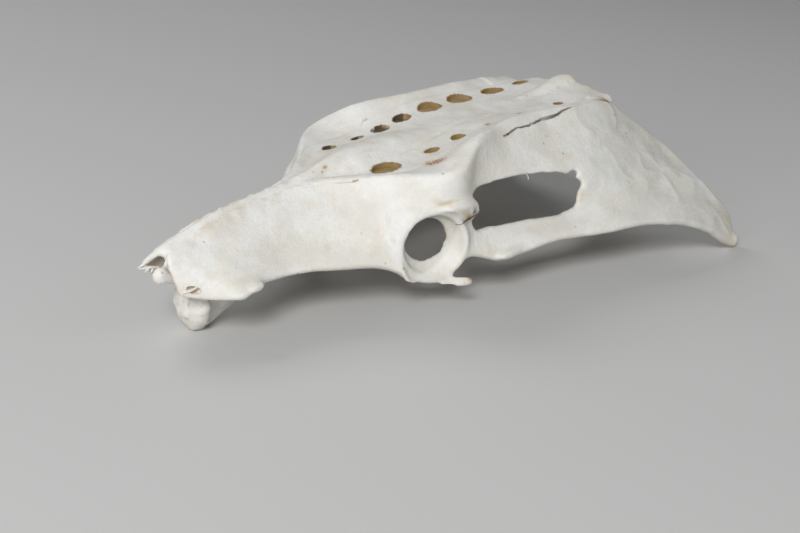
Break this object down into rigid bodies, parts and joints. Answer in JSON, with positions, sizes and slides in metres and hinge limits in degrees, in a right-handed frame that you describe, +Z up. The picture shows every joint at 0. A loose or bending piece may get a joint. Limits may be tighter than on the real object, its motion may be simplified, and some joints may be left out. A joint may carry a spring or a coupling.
{
  "type": "bird pelvis",
  "caption": "Pelvis of a gull-sized bird: fused back vertebrae between two thin hip bones with open hip sockets and long openings behind them, resting on a front keel and two rear tips",
  "frame": {"origin": "on the table at the middle of the model's box", "axes": "+X towards the tail end, +Y towards the animal's right side, +Z up"},
  "size_m": [0.0872, 0.0554, 0.0232],
  "materials": {
    "back_bone": "dry cleaned bone, warm ivory with yellow-brown along the crest and round the openings, faint satin sheen",
    "hip_bone": "dry cleaned bone, pale ivory, finely fibrous, faint satin sheen",
    "socket_bone": "dry cleaned bone, ivory, a little warmer round the hip socket"
  },
  "bodies": {
    "root": {"synsacrum": "back_bone", "left_ilium": "hip_bone", "left_ischium": "hip_bone", "left_pubis": "socket_bone", "right_ilium": "hip_bone", "right_ischium": "hip_bone", "right_pubis": "socket_bone"}
  },
  "joints": []
}
